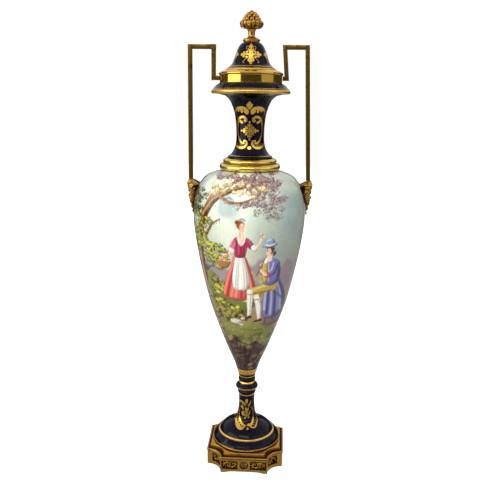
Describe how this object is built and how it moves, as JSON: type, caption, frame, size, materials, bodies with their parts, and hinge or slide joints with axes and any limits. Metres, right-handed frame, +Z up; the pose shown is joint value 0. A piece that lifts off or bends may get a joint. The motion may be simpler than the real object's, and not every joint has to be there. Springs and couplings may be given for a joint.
{
  "type": "mantel urn",
  "caption": "Tall covered porcelain urn with painted baluster body, cobalt and gilt neck, lid and foot, squared bronze handles, mask mounts and a square bronze plinth.",
  "frame": {"origin": "middle of the plinth's underside, on the surface the urn stands on", "axes": "+Z up along the urn's axis, -Y towards the painted front, +X towards the right handle"},
  "size_m": [0.1524, 0.1356, 0.56],
  "materials": {
    "gilt_bronze": "polished with darkened recesses",
    "dark_bronze": "satin, darkened with age",
    "cobalt_porcelain": "gloss glaze with gilding",
    "painted_porcelain": "gloss glaze over painting"
  },
  "bodies": {
    "root": {"plinth": "gilt_bronze", "foot": "cobalt_porcelain", "body": "painted_porcelain", "neck_collar": "gilt_bronze", "neck": "cobalt_porcelain", "rim_band": "gilt_bronze", "lid": "cobalt_porcelain", "finial": "gilt_bronze", "handle_left": "dark_bronze", "handle_right": "dark_bronze", "mask_left": "gilt_bronze", "mask_right": "gilt_bronze"}
  },
  "joints": []
}
